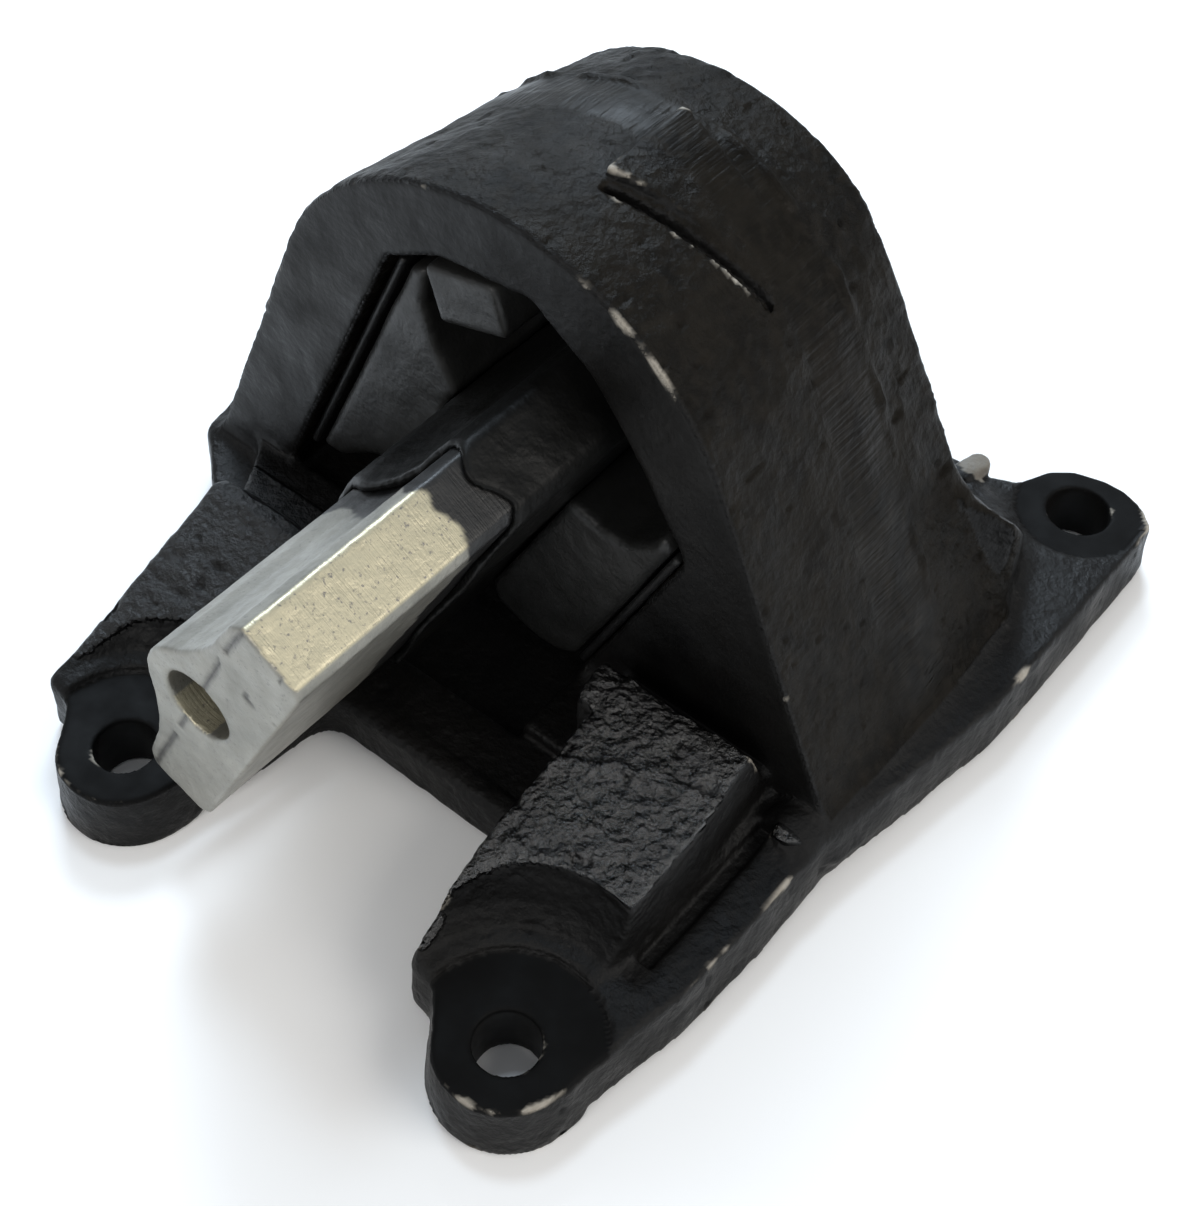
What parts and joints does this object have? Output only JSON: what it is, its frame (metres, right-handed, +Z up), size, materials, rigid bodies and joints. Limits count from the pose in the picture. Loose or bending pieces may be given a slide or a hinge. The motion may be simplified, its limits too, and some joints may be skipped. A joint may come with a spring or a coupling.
{
  "type": "rubber engine mount",
  "caption": "Cast bracket on a flanged base with a trapezoid arch; a bonded rubber spring in the arch window carries a long tilted aluminium core bar with a through bore.",
  "frame": {"origin": "on the bolt line of the two front feet, at the undersides of the feet, straight below the core axis", "axes": "+Z up from the base face, +Y from the bare core end towards the rear feet, +X to the right seen from the bare core end"},
  "size_m": [0.1668, 0.1795, 0.1052],
  "materials": {
    "cast_bracket": "rough casting under black paint",
    "liner_steel": "black",
    "rubber": "matte black",
    "core_aluminium": "satin, extruded"
  },
  "bodies": {
    "bracket": {"bracket_casting": "cast_bracket", "stop_block": "rubber", "liner_left": "liner_steel", "liner_right": "liner_steel", "rubber_left_leg": "rubber", "rubber_right_leg": "rubber"},
    "core": {"core_bar": "core_aluminium", "core_sleeve": "rubber"}
  },
  "joints": [
    {"name": "core_bounce", "type": "slide", "parent": "bracket", "child": "core", "axis": [0, 0, 1], "range_m": [-0.0035, 0.002], "stiffness_N_per_m": 150000, "deforming": ["rubber_left_leg", "rubber_right_leg"]}
  ]
}
